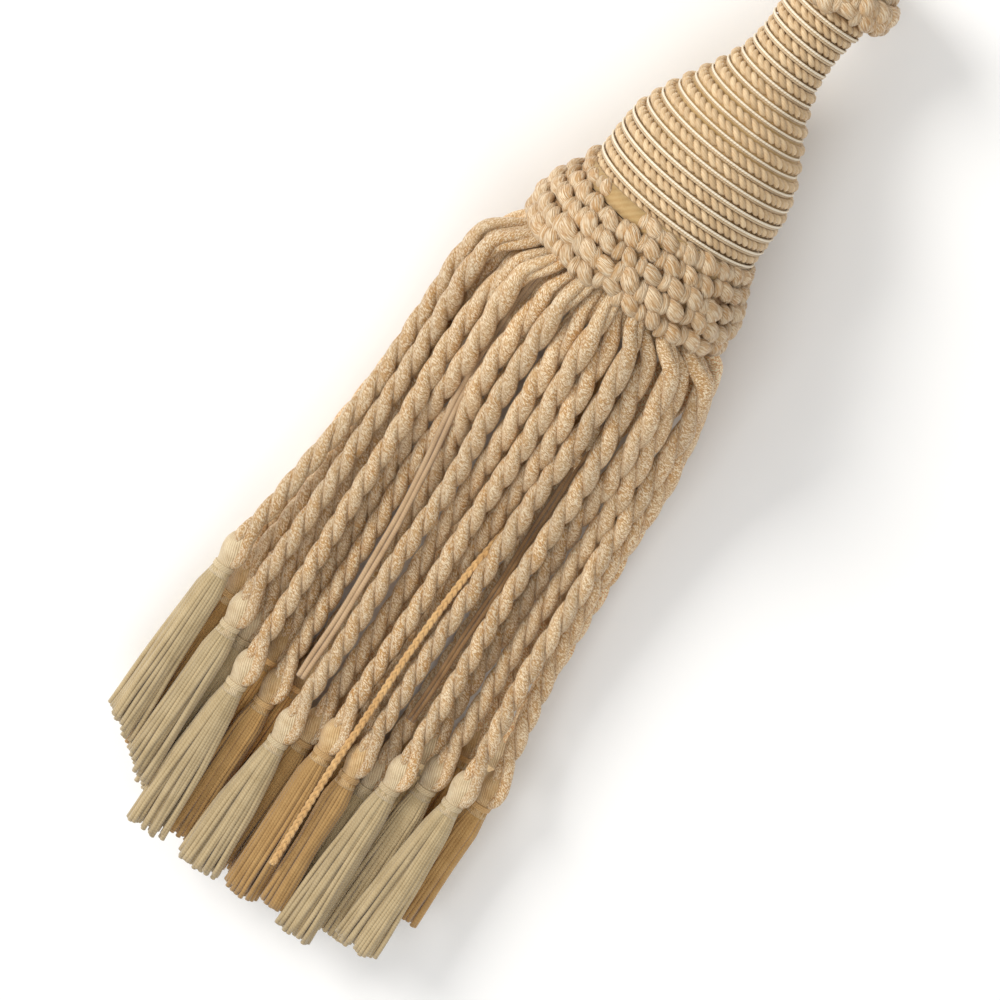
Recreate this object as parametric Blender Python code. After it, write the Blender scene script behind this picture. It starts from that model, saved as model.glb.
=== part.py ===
"""Curtain tieback tassel, lying on a surface.

A turned wooden mould wound with cord, a knotted ruff, a skirt of twisted ropes and a small
tassel on the end of each rope. Sizes are in millimetres until add_piece turns them into metres.
The tassel lies along Y with its head at +Y, X runs across it and Z is up from the surface.
"""
import math

import bmesh
import bpy
import numpy as np

MM = 0.001

# Where the piece lies: the ruff's rim centre, and the lean of everything above it. The last
# two move the model until its origin is under the middle of its footprint.
RIM_X = -0.9
RIM_Y = 0.0
RIM_HEIGHT = 28.8
FOOTPRINT_X = -0.75
FOOTPRINT_Y = 50.6
HEAD_TURN = math.radians(2.5)
HEAD_DROOP = math.radians(3.0)
CLEARANCE = 0.3

# Wound head: distance along the axis from the ruff's rim, and radius at the foot of the turns.
HEAD_SIDES = 20
HEAD_FOOT = 11.2
HEAD_TOP = 83.0
TURN_PITCH = 3.95
TURN_RELIEF = 0.55
HEAD_PROFILE = [
    # along, radius
    (HEAD_FOOT, 22.3),
    (21.0, 23.1),
    (28.0, 23.1),
    (35.3, 22.7),
    (42.6, 20.1),
    (49.9, 16.3),
    (57.2, 12.5),
    (64.5, 9.9),
    (71.8, 9.3),
    (79.0, 9.9),
    (HEAD_TOP, 10.9),
]

# Knotted ruff: a conical collar of staggered knots over the mould's foot.
RUFF_KNOTS_ROUND = 30
RUFF_KNOT_ROWS = 5
RUFF_KNOT_RELIEF = 1.2
RUFF_SCALLOP = 0.8
RUFF_OUTSIDE = [
    # along, radius
    (-1.2, 29.4),
    (4.0, 29.0),
    (8.0, 28.1),
    (13.0, 26.2),
    (20.5, 24.9),
]
RUFF_INSIDE = [
    # along, radius
    (-1.2, 28.8),
    (4.0, 27.6),
    (10.0, 25.4),
    (20.5, 24.1),
]

# Knot round the top of the neck, closed plainly with a flat top.
TOP_KNOT_LOBES = 12
TOP_KNOT_RELIEF = 0.8
TOP_KNOT_PROFILE = [
    # along, radius, share of the relief
    (HEAD_TOP + CLEARANCE, 11.6, 0.0),
    (84.6, 13.2, 1.0),
    (87.4, 14.0, -1.0),
    (90.2, 13.6, 1.0),
    (92.6, 11.4, -1.0),
    (94.2, 8.2, 1.0),
    (95.0, 5.5, 0.0),
]

# Backing that the ropes and the loose strands are sewn to, inside the ruff.
BACKING_LOW = 1.0
BACKING_HIGH = 9.0
BACKING_LOW_RADIUS = 27.8
BACKING_HIGH_RADIUS = 24.9
BACKING_SIDES = 30
ROOT_DEPTH = 1.6
RIM_DROP = 3.2
RIM_RADIUS = 26.8

# Ropes of two plies.
ROPE_RING_RADIUS = 25.0
ROPE_HALF_WIDTH = 2.4
ROPE_HALF_THICKNESS = 1.7
ROPE_ROOT = (1.5, 1.5)
ROPE_END = (1.5, 1.3)
ROPE_QUARTER_TURN = 4.5
PLAIN_HALF_WIDTH = 2.1
PLAIN_STEP = 12.0
LOOSE_STEP = 8.0
LOOSE_HALF_THICKNESS = 0.7
KNOT_GAP = 0.4

# Stations of the skirt, as distances below the ruff's rim.
FLARE = 9.5
SHOULDER = 37.0
WAIST = 72.0
LEVEL = 105.0

# Upper ropes: they start in three rings, one inside the other, and spread into one arch. Those
# of the innermost ring stay under it.
FLARE_WIDTH = 36.0
FLARE_LIFT = 1.04
FLARE_SAG = 2.0
RING_STEP = 3.5
INNERMOST_RING = 2
RIM_SHARE = 0.97
SHOULDER_REACH = 37.2
SHOULDER_SINK = 4.8
WAIST_LIFT = 0.24
WAIST_SINK = 2.6
LEVEL_BEND = 1.5
ARCH_HALF_WIDTH = 40.5
ARCH_FOOT = 7.0
ARCH_RISE = 36.0

# Small tassels lie in four layers, counted from the surface.
LAYER_HEIGHT = 5.5
LAYER_PITCH = 6.0
LOWEST_SHOWING_LAYER = 2

# Upper ropes and their small tassels, from -X to +X. Distances are below the ruff's rim.
UPPER_COLUMNS = (
    "ring", "shoulder_x", "waist_x", "knot_x", "tip_x", "layer", "knot_at", "tip_at", "width", "shade"
)
UPPER_ROPES = [
    (0, -36.3, -37.6, -43.0, -43.0, 3, 113.8, 175.5, 9.2, "cream"),
    (2, -34.5, -34.6, -37.6, -37.8, 2, 121.0, 181.0, 8.0, "gold"),
    (0, -32.4, -32.0, -33.2, -33.2, 3, 126.0, 183.0, 9.4, "cream"),
    (2, -30.7, -28.6, -28.8, -28.8, 2, 129.3, 189.0, 8.6, "cream"),
    (1, -26.7, -25.6, -24.0, -22.6, 3, 138.0, 195.5, 11.0, "cream"),
    (0, -21.6, -22.1, -20.0, -20.0, 1, 132.0, 186.0, 9.0, "gold"),
    (2, -18.0, -17.6, -15.5, -15.5, 2, 140.0, 194.0, 9.0, "gold"),
    (1, -15.0, -12.2, -10.4, -10.4, 1, 134.0, 187.0, 8.8, "gold"),
    (0, -9.2, -7.6, -7.0, -5.9, 3, 144.6, 196.4, 11.6, "cream"),
    (1, -3.5, -2.8, -1.4, -2.0, 2, 142.8, 194.5, 8.6, "gold"),
    (0, 1.8, 2.4, 4.0, 6.4, 3, 140.0, 195.5, 9.6, "gold"),
    (1, 7.0, 7.0, 8.5, 8.2, 2, 138.0, 191.0, 8.6, "gold"),
    (0, 12.2, 11.9, 12.7, 15.0, 3, 141.4, 193.2, 7.0, "gold"),
    (2, 15.8, 16.2, 18.4, 18.4, 2, 143.5, 189.0, 9.0, "cream"),
    (1, 18.8, 20.0, 23.2, 23.8, 3, 138.0, 196.5, 10.0, "cream"),
    (0, 24.2, 24.4, 25.8, 25.8, 1, 132.0, 187.0, 9.0, "cream"),
    (1, 28.6, 29.0, 30.8, 31.4, 2, 134.7, 193.0, 10.2, "cream"),
    (0, 32.9, 33.9, 38.6, 38.8, 3, 132.0, 190.0, 11.4, "cream"),
    (1, 35.8, 36.9, 44.8, 44.8, 2, 129.9, 178.0, 8.6, "gold"),
]

# Lower ropes, hidden under the others: layer and place of the knot. The rest follows one rule.
LOWER_ROPES = [
    (0, -41.6),
    (1, -34.0),
    (0, -26.4),
    (0, -11.3),
    (1, -0.5),
    (0, 3.8),
    (1, 10.5),
    (0, 18.9),
    (0, 34.0),
    (1, 41.6),
]
LOWER_KNOT_AT = 134.0
LOWER_TIP_AT = 186.0
LOWER_RIM_RISE = 12.0
LOWER_WIDTH = 9.6
LOWER_SPREAD = 35.0
LOWER_SIDE_RISE = 7.5
LOWER_RING_RADIUS = 24.4
LOWER_FLARE_WIDTH = 31.0
LOWER_FLARE_SHARE = 0.86
LOWER_WAIST_SHARE = 0.92
LOWER_WAIST_LIFT = 0.7
LOWER_LEVEL_SHARE = 0.96

# Loose plain strands of the skirt: half width, and stops of (distance, x, height).
LOOSE_STRANDS = {
    "rose pair": (0.7, [
        (-3.0, -13.2, 47.7),
        (3.2, -13.6, 48.2),
        (9.5, -17.8, 46.9),
        (37.0, -18.2, 38.4),
        (54.0, -17.4, 30.2),
        (72.0, -14.9, 22.8),
        (90.0, -13.2, 20.4),
        (108.0, -11.9, 20.2),
        (138.0, -11.2, 19.2),
    ]),
    "gold braid": (0.6, [
        (-3.0, 3.1, 45.0),
        (3.2, 3.4, 45.6),
        (9.5, 5.5, 43.8),
        (37.0, 10.0, 36.6),
        (54.0, 10.6, 29.0),
        (72.0, 10.4, 21.2),
        (90.0, 8.7, 22.4),
        (114.0, 7.9, 22.6),
        (136.0, 8.2, 22.8),
        (152.0, 8.3, 24.8),
        (182.0, 9.6, 24.8),
    ]),
    "brown pair": (0.6, [
        (-3.0, 8.9, 51.0),
        (3.2, 9.2, 51.8),
        (9.5, 12.8, 50.4),
        (37.0, 15.5, 39.4),
        (54.0, 15.8, 31.6),
        (72.0, 16.5, 22.8),
        (90.0, 17.0, 20.6),
        (104.0, 17.3, 19.6),
        (131.0, 17.8, 18.9),
    ]),
}

# Small tassel: a ball of strands over the rope's end, a bound neck and locks below.
BALL_PROFILE = [
    # below the top, half width, half height
    (0.0, 1.5, 1.4),
    (2.4, 3.0, 2.6),
    (6.2, 3.1, 2.7),
    (9.8, 2.5, 2.3),
    (12.4, 3.35, 2.75),
]
BALL_SIDES = 8
HIDDEN_BALL_SIDES = 6
LOCK_SINK = 0.7
LOCK_GAP = 0.34
LOCK_UNEVEN = 1.3
LOCK_UNEVEN_STEP = 2.4
LOCK_UNEVEN_ACROSS = 1.7
LOCK_UNEVEN_LOWER = 2.0
UPPER_LOCKS = 4
LOWER_LOCKS = 3
LOCK_ROOT_HALF_WIDTH = 2.95

SHARP_ANGLE = math.radians(50)
YARN_ROUGHNESS = 0.75

COLOURS = {
    "head": (0.56, 0.40, 0.22),
    "ruff": (0.66, 0.50, 0.31),
    "skirt": (0.64, 0.47, 0.27),
    "cream": (0.66, 0.58, 0.41),
    "gold": (0.60, 0.42, 0.20),
}


def clear_scene():
    """Remove whatever objects the file holds."""
    for thing in list(bpy.data.objects):
        bpy.data.objects.remove(thing, do_unlink=True)


def cloth_material(name, colour):
    """A plain yarn material."""
    material = bpy.data.materials.new(name)
    material.use_nodes = True
    shader = material.node_tree.nodes["Principled BSDF"]
    shader.inputs["Base Color"].default_value = (*colour, 1.0)
    shader.inputs["Roughness"].default_value = YARN_ROUGHNESS
    shader.inputs["Metallic"].default_value = 0.0
    return material


def along_table(table, at, column=1):
    """Value of a table's column at a distance held in its first column."""
    return float(np.interp(at, [row[0] for row in table], [row[column] for row in table]))


def smooth_route(stops, at):
    """A point on the smooth line through stops of (distance, x, z)."""
    distances = [stop[0] for stop in stops]
    at = min(max(at, distances[0]), distances[-1])
    index = min(int(np.searchsorted(distances, at, side="right")), len(stops) - 1)
    low = max(index - 1, 0)
    before = stops[max(low - 1, 0)]
    start = stops[low]
    end = stops[low + 1]
    after = stops[min(low + 2, len(stops) - 1)]
    span = end[0] - start[0]
    share = (at - start[0]) / span
    values = []
    for axis in (1, 2):
        slope_in = (end[axis] - before[axis]) / (end[0] - before[0]) * span
        slope_out = (after[axis] - start[axis]) / (after[0] - start[0]) * span
        cubic = (2 * start[axis] - 2 * end[axis] + slope_in + slope_out) * share**3
        square = (-3 * start[axis] + 3 * end[axis] - 2 * slope_in - slope_out) * share**2
        values.append(cubic + square + slope_in * share + start[axis])
    return values


def head_point(along, radius, angle):
    """A point round the head's axis: it leans from the ruff's rim, angle 90 degrees is up."""
    across = radius * math.cos(angle)
    rise = radius * math.sin(angle)
    forward = along * math.cos(HEAD_DROOP) + rise * math.sin(HEAD_DROOP)
    height = RIM_HEIGHT - along * math.sin(HEAD_DROOP) + rise * math.cos(HEAD_DROOP)
    x = RIM_X + across * math.cos(HEAD_TURN) + forward * math.sin(HEAD_TURN)
    y = RIM_Y - across * math.sin(HEAD_TURN) + forward * math.cos(HEAD_TURN)
    return [x, y, height]


def add_piece(name, vertices, faces, material):
    """A mesh object from points in millimetres."""
    mesh = bpy.data.meshes.new(name)
    mesh.from_pydata([[value * MM for value in point] for point in vertices], [], faces)
    mesh.validate()
    body = bmesh.new()
    body.from_mesh(mesh)
    bmesh.ops.recalc_face_normals(body, faces=body.faces)
    body.to_mesh(mesh)
    body.free()
    mesh.shade_smooth()
    mesh.set_sharp_from_angle(angle=SHARP_ANGLE)
    piece = bpy.data.objects.new(name, mesh)
    bpy.context.scene.collection.objects.link(piece)
    mesh.materials.append(material)
    return piece


def ring_faces(ring_count, sides):
    """Quads between stacked rings of one size."""
    faces = []
    for ring in range(ring_count - 1):
        for side in range(sides):
            after = (side + 1) % sides
            low = ring * sides
            high = low + sides
            faces.append((low + side, low + after, high + after, high + side))
    return faces


def capped_rings(rings):
    """Points and faces of stacked rings with a flat cap at each end."""
    sides = len(rings[0])
    vertices = [point for ring in rings for point in ring]
    faces = ring_faces(len(rings), sides)
    faces.append(tuple(range(sides)))
    faces.append(tuple(range(len(vertices) - sides, len(vertices))))
    return vertices, faces


def round_ring(along, radius, sides):
    """One ring round the head's axis."""
    return [head_point(along, radius, math.tau * side / sides) for side in range(sides)]


def build_head(material):
    """The wound mould: a rib for each turn of the cord."""
    rings = [round_ring(HEAD_FOOT, along_table(HEAD_PROFILE, HEAD_FOOT), HEAD_SIDES)]
    turn_count = round((HEAD_TOP - HEAD_FOOT) / TURN_PITCH)
    half_turn = (HEAD_TOP - HEAD_FOOT) / turn_count / 2
    for step in range(1, 2 * turn_count):
        along = HEAD_FOOT + step * half_turn
        relief = TURN_RELIEF if step % 2 else 0.0
        rings.append(round_ring(along, along_table(HEAD_PROFILE, along) + relief, HEAD_SIDES))
    rings.append(round_ring(HEAD_TOP, along_table(HEAD_PROFILE, HEAD_TOP), HEAD_SIDES))
    vertices, faces = capped_rings(rings)
    return add_piece("head", vertices, faces, material)


def build_ruff(material):
    """The knotted collar, with a small flat where it rests on the surface."""
    sides = 2 * RUFF_KNOTS_ROUND
    low = RUFF_OUTSIDE[0][0]
    high = RUFF_OUTSIDE[-1][0]
    row_count = 2 * RUFF_KNOT_ROWS
    rings = []
    for row in range(row_count + 1):
        along = low + (high - low) * row / row_count
        base = along_table(RUFF_OUTSIDE, along)
        ring = []
        for side in range(sides):
            raised = row % 2 == 1 and (side + row // 2) % 2 == 0
            drop = RUFF_SCALLOP * (side % 2) if row == 0 else 0.0
            radius = base + (RUFF_KNOT_RELIEF if raised else 0.0)
            ring.append(head_point(along + drop, radius, math.tau * side / sides))
        rings.append(ring)
    for along, radius in reversed(RUFF_INSIDE):
        rings.append(round_ring(along, radius, sides))
    vertices = [[x, y, max(z, 0.0)] for ring in rings for x, y, z in ring]
    faces = ring_faces(len(rings), sides)
    last = (len(rings) - 1) * sides
    for side in range(sides):
        after = (side + 1) % sides
        faces.append((last + side, last + after, after, side))
    return add_piece("ruff", vertices, faces, material)


def build_top_knot(material):
    """The knot that closes the neck's top."""
    sides = 2 * TOP_KNOT_LOBES
    rings = []
    for along, radius, share in TOP_KNOT_PROFILE:
        ring = []
        for side in range(sides):
            relief = TOP_KNOT_RELIEF * share * (1 if side % 2 else -1)
            ring.append(head_point(along, radius + relief, math.tau * side / sides))
        rings.append(ring)
    vertices, faces = capped_rings(rings)
    return add_piece("top_knot", vertices, faces, material)


def layer_height(layer):
    """Height of a layer's middle above the surface."""
    return LAYER_HEIGHT / 2 + LAYER_PITCH * layer


def arch_height(x):
    """Height of the upper ropes at the skirt's shoulder."""
    return ARCH_FOOT + ARCH_RISE * math.sqrt(max(1 - (x / ARCH_HALF_WIDTH) ** 2, 0.0))


def under_arch(x, depth):
    """A point square under the shoulder's arch: x, height."""
    height = arch_height(x)
    slope_x = x / ARCH_HALF_WIDTH**2
    slope_z = (height - ARCH_FOOT) / ARCH_RISE**2
    length = math.hypot(slope_x, slope_z)
    return x - depth * slope_x / length, height - depth * slope_z / length


def upper_rows():
    """The upper ropes as rows of named values."""
    return [dict(zip(UPPER_COLUMNS, row)) for row in UPPER_ROPES]


def lower_rows():
    """The lower ropes as rows of the same named values."""
    rows = []
    for index, (layer, knot_x) in enumerate(LOWER_ROPES):
        rise = LOWER_RIM_RISE * (knot_x / LOWER_ROPES[-1][1]) ** 2
        rows.append({
            "layer": layer,
            "waist_x": LOWER_WAIST_SHARE * knot_x,
            "knot_x": knot_x,
            "tip_x": knot_x,
            "knot_at": LOWER_KNOT_AT - rise,
            "tip_at": LOWER_TIP_AT - rise,
            "width": LOWER_WIDTH,
            "shade": "gold" if index % 3 else "cream",
        })
    return rows


def upper_stops(row):
    """Stops of an upper rope below the rim: distance, x, height."""
    inward = RING_STEP * row["ring"]
    sunk = row["ring"] == INNERMOST_RING
    angle = math.acos(RIM_SHARE * row["shoulder_x"] / SHOULDER_REACH)
    root = head_point(BACKING_LOW, ROPE_RING_RADIUS - inward, angle)
    rim = head_point(-RIM_DROP, RIM_RADIUS - inward, angle)
    flare_x = RIM_X + (FLARE_WIDTH - inward) * math.cos(angle)
    flare_z = RIM_HEIGHT + (rim[2] - RIM_HEIGHT) * FLARE_LIFT - FLARE_SAG
    shoulder = under_arch(row["shoulder_x"], SHOULDER_SINK * sunk)
    layer_z = layer_height(row["layer"])
    waist_z = layer_z + WAIST_LIFT * (arch_height(row["shoulder_x"]) - layer_z) - WAIST_SINK * sunk
    bend = ((LEVEL - WAIST) / (row["knot_at"] - WAIST)) ** LEVEL_BEND
    return [
        (RIM_Y - root[1], root[0], root[2]),
        (RIM_Y - rim[1], rim[0], rim[2]),
        (FLARE, flare_x, flare_z),
        (SHOULDER, *shoulder),
        (WAIST, row["waist_x"], waist_z),
        (LEVEL, row["waist_x"] + (row["knot_x"] - row["waist_x"]) * bend, layer_z),
        (row["knot_at"] - KNOT_GAP, row["knot_x"], layer_z),
    ]


def lower_stops(index, row):
    """Stops of a lower rope below the rim: distance, x, height."""
    share = 2 * index / (len(LOWER_ROPES) - 1) - 1
    angle = math.pi + math.pi * (index + 0.5) / len(LOWER_ROPES)
    root = head_point(BACKING_LOW, LOWER_RING_RADIUS, angle)
    rim = head_point(-RIM_DROP, RIM_RADIUS, angle)
    floor = ROPE_HALF_WIDTH
    layer_z = layer_height(row["layer"]) if row["layer"] else floor
    shoulder_z = floor + LOWER_SIDE_RISE * share**2
    flare_x = RIM_X + LOWER_FLARE_WIDTH * math.cos(angle)
    return [
        (RIM_Y - root[1], root[0], root[2]),
        (RIM_Y - rim[1], rim[0], rim[2]),
        (FLARE, flare_x, floor + LOWER_FLARE_SHARE * (rim[2] - floor)),
        (SHOULDER, LOWER_SPREAD * share, shoulder_z),
        (WAIST, row["waist_x"], shoulder_z + LOWER_WAIST_LIFT * (layer_z - shoulder_z)),
        (LEVEL, row["knot_x"] * LOWER_LEVEL_SHARE, layer_z),
        (row["knot_at"] - KNOT_GAP, row["knot_x"], layer_z),
    ]


def route_points(stops, step, lowest=0.0):
    """Points along a route at even steps, the first sunk into the backing."""
    start = stops[0][0]
    end = stops[-1][0]
    count = max(2, round((end - start) / step))
    points = []
    for index in range(count + 1):
        at = start + (end - start) * index / count
        x, z = smooth_route(stops, at)
        points.append([x, RIM_Y - at, max(z, lowest)])
    sunk = head_point(ROOT_DEPTH, 0.0, 0.0)
    lift = sunk[1] - RIM_Y
    points.insert(0, [points[0][0], points[0][1] + lift, points[0][2]])
    return np.array(points)


def section(point, tangent, half_width, half_thickness):
    """Four corners of a strand's section: right, top, left, bottom."""
    side = np.cross(tangent, (0.0, 0.0, 1.0))
    side /= np.linalg.norm(side)
    top = np.cross(side, tangent)
    corners = [side * half_width, top * half_thickness, -side * half_width, -top * half_thickness]
    return [list(point + corner) for corner in corners]


def strand_mesh(points, sizes, first=0):
    """Points and triangles of a strand of four sides; the faces' diagonals follow its twist."""
    tangents = np.gradient(points, axis=0)
    tangents /= np.linalg.norm(tangents, axis=1)[:, None]
    tangents[-1] = (0.0, -1.0, 0.0)
    vertices = []
    for point, tangent, size in zip(points, tangents, sizes):
        vertices += section(point, tangent, *size)
    faces = [(first, first + 1, first + 2, first + 3)]
    for ring in range(len(points) - 1):
        for corner in range(4):
            after = (corner + 1) % 4
            low = first + 4 * ring
            faces.append((low + corner, low + after, low + 4 + after))
            faces.append((low + corner, low + 4 + after, low + 4 + corner))
    last = first + 4 * (len(points) - 1)
    faces.append((last + 3, last + 2, last + 1, last))
    return vertices, faces


def twist_sizes(count, phase):
    """Half width and half thickness that change places at each quarter turn."""
    wide = (ROPE_HALF_WIDTH, ROPE_HALF_THICKNESS)
    sizes = [wide if (index + phase) % 2 else wide[::-1] for index in range(count)]
    sizes[:3] = [ROPE_ROOT] * 3
    sizes[-1] = ROPE_END
    return sizes


def skirt_strands():
    """All ropes and loose strands of the skirt as one set of points and faces."""
    vertices = []
    faces = []

    def add(points, sizes):
        new_vertices, new_faces = strand_mesh(points, sizes, len(vertices))
        vertices.extend(new_vertices)
        faces.extend(new_faces)

    for row in upper_rows():
        points = route_points(upper_stops(row), ROPE_QUARTER_TURN)
        add(points, twist_sizes(len(points), row["ring"] % 2))
    for index, row in enumerate(lower_rows()):
        points = route_points(lower_stops(index, row), PLAIN_STEP, ROPE_HALF_WIDTH)
        add(points, [(PLAIN_HALF_WIDTH, ROPE_HALF_WIDTH)] * len(points))
    for half_width, stops in LOOSE_STRANDS.values():
        points = route_points(stops, LOOSE_STEP)
        add(points, [(half_width, LOOSE_HALF_THICKNESS)] * len(points))
    return vertices, faces


def union_with(piece, vertices, faces, material):
    """Fuse further solids to a piece."""
    guide = add_piece(piece.name + "_fused", vertices, faces, material)
    guide.hide_render = True
    guide.display_type = "WIRE"
    fuse = piece.modifiers.new("fuse", "BOOLEAN")
    fuse.operation = "UNION"
    fuse.solver = "EXACT"
    fuse.object = guide
    return guide


def build_skirt(material):
    """The backing with every rope and loose strand fused to it."""
    rings = [
        round_ring(BACKING_LOW, BACKING_LOW_RADIUS, BACKING_SIDES),
        round_ring(BACKING_HIGH, BACKING_HIGH_RADIUS, BACKING_SIDES),
    ]
    vertices, faces = capped_rings(rings)
    skirt = add_piece("skirt", vertices, faces, material)
    guide = union_with(skirt, *skirt_strands(), material)
    return [skirt, guide]


def ball_ring(row, below, half_width, half_height, sides):
    """One ring of a small tassel's ball or neck."""
    centre_z = layer_height(row["layer"])
    y = RIM_Y - row["knot_at"] - below
    ring = []
    for side in range(sides):
        angle = math.tau * (side + 0.5) / sides
        stretch = 1 / math.cos(math.pi / sides)
        x = row["knot_x"] + half_width * math.cos(angle) * stretch
        z = half_height * math.sin(angle) * stretch
        z = min(max(z, -half_height), half_height)
        ring.append([x, y, centre_z + z])
    return ring


def lock_row(row, count, upper):
    """Locks of one of a small tassel's two rows, each a strand of four sides."""
    vertices = []
    faces = []
    centre_z = layer_height(row["layer"])
    sign = 1 if upper else -1
    plate = BALL_PROFILE[-1][0]
    root_y = RIM_Y - row["knot_at"] - plate + LOCK_SINK
    depth = LAYER_HEIGHT / 2 - LOCK_GAP / 2
    middle_z = centre_z + sign * (LOCK_GAP / 2 + depth / 2)
    for index in range(count):
        place = (index + 0.5) / count * 2 - 1
        phase = LOCK_UNEVEN_STEP * index + LOCK_UNEVEN_ACROSS * row["knot_x"]
        if not upper:
            phase += LOCK_UNEVEN_LOWER
        tip_y = RIM_Y - row["tip_at"] + LOCK_UNEVEN * abs(math.sin(phase))
        for share in (0.0, 1.0):
            half_span = LOCK_ROOT_HALF_WIDTH * (1 - share) + row["width"] / 2 * share
            middle_x = row["knot_x"] * (1 - share) + row["tip_x"] * share + place * half_span
            half = half_span / count - LOCK_GAP / 2
            y = root_y + (tip_y - root_y) * share
            for corner_x, corner_z in ((-1, -1), (1, -1), (1, 1), (-1, 1)):
                z = middle_z + corner_z * depth / 2
                vertices.append([middle_x + corner_x * half, y, z])
        first = 8 * index
        faces.append((first, first + 1, first + 2, first + 3))
        for corner in range(4):
            after = (corner + 1) % 4
            faces.append((first + corner, first + 4 + corner, first + 4 + after, first + after))
        faces.append((first + 7, first + 6, first + 5, first + 4))
    return vertices, faces


def build_small_tassel(name, row, material):
    """A small tassel: its ball and neck with the locks fused below."""
    hidden = row["layer"] < LOWEST_SHOWING_LAYER
    sides = HIDDEN_BALL_SIDES if hidden else BALL_SIDES
    rings = [ball_ring(row, *size, sides) for size in BALL_PROFILE]
    vertices, faces = capped_rings(rings)
    tassel = add_piece(name, vertices, faces, material)
    top_vertices, top_faces = lock_row(row, UPPER_LOCKS - hidden, True)
    low_vertices, low_faces = lock_row(row, LOWER_LOCKS - hidden, False)
    shift = len(top_vertices)
    joined = top_faces + [tuple(corner + shift for corner in face) for face in low_faces]
    guide = union_with(tassel, top_vertices + low_vertices, joined, material)
    return [tassel, guide]


def build_small_tassels(materials):
    """One small tassel on each rope's end."""
    pieces = []
    for number, row in enumerate(upper_rows() + lower_rows(), start=1):
        pieces += build_small_tassel(f"tassel_{number:02d}", row, materials[row["shade"]])
    return pieces


def main():
    """Build the whole tassel."""
    clear_scene()
    materials = {name: cloth_material(name, colour) for name, colour in COLOURS.items()}
    pieces = [
        build_head(materials["head"]),
        build_ruff(materials["ruff"]),
        build_top_knot(materials["ruff"]),
    ]
    pieces += build_skirt(materials["skirt"])
    pieces += build_small_tassels(materials)
    frame = bpy.data.objects.new("tassel_frame", None)
    bpy.context.scene.collection.objects.link(frame)
    frame.location = (FOOTPRINT_X * MM, FOOTPRINT_Y * MM, 0.0)
    for piece in pieces:
        piece.parent = frame


main()
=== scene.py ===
import math

import bpy
import numpy as np
from mathutils import Matrix, Vector


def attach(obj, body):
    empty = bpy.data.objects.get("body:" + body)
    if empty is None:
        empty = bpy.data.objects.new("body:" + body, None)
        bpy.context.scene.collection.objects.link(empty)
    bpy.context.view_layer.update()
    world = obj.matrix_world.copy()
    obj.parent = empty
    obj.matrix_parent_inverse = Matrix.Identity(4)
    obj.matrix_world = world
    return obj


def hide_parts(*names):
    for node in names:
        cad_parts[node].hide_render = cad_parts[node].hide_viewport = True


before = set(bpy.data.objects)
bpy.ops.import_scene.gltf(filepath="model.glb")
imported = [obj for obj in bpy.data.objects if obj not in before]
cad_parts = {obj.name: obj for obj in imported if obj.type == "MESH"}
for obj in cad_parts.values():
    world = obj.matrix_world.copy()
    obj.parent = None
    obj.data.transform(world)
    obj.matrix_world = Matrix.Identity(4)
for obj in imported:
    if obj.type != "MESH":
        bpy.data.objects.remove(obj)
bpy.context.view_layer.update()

MM = 0.001
rng = np.random.default_rng(17)

# Driving sizes, the same as the solids'.
RIM_X = -0.9
RIM_HEIGHT = 28.8
FOOTPRINT_X = -0.75
FOOTPRINT_Y = 50.6
HEAD_TURN = math.radians(2.5)
HEAD_DROOP = math.radians(3.0)
TURN_PITCH = 3.95
HEAD_PROFILE = [
    # along, radius at the foot of the turns
    (11.2, 22.3),
    (21.0, 23.1),
    (28.0, 23.1),
    (35.3, 22.7),
    (42.6, 20.1),
    (49.9, 16.3),
    (57.2, 12.5),
    (64.5, 9.9),
    (71.8, 9.3),
    (79.0, 9.9),
    (83.0, 10.9),
]
RUFF_OUTSIDE = [
    # along, radius
    (-1.2, 29.4),
    (4.0, 29.0),
    (8.0, 28.1),
    (13.0, 26.2),
    (20.5, 24.9),
]
TOP_KNOT_PROFILE = [
    # along, radius
    (83.3, 11.6),
    (84.6, 13.2),
    (87.4, 14.0),
    (90.2, 13.6),
    (92.6, 11.4),
    (94.2, 8.2),
    (95.0, 5.5),
]
ROPE_RING_RADIUS = 25.0
BACKING_LOW = 1.0
RIM_DROP = 3.2
RIM_RADIUS = 26.8
ROPE_HALF_WIDTH = 2.4
KNOT_GAP = 0.4
LOOSE_SINK = [
    # distance below the rim, how far a loose strand lies under the ropes there
    (-3.0, 0.0),
    (6.0, 1.6),
    (40.0, 2.2),
    (62.0, 0.6),
    (80.0, 0.0),
]
FLARE = 9.5
SHOULDER = 37.0
WAIST = 72.0
LEVEL = 105.0
FLARE_WIDTH = 36.0
FLARE_LIFT = 1.04
FLARE_SAG = 2.0
RING_STEP = 3.5
INNERMOST_RING = 2
RIM_SHARE = 0.97
SHOULDER_REACH = 37.2
SHOULDER_SINK = 4.8
WAIST_LIFT = 0.24
WAIST_SINK = 2.6
LEVEL_BEND = 1.5
ARCH_HALF_WIDTH = 40.5
ARCH_FOOT = 7.0
ARCH_RISE = 36.0
LAYER_HEIGHT = 5.5
LAYER_PITCH = 6.0
LOWEST_SHOWING_LAYER = 2

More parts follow.
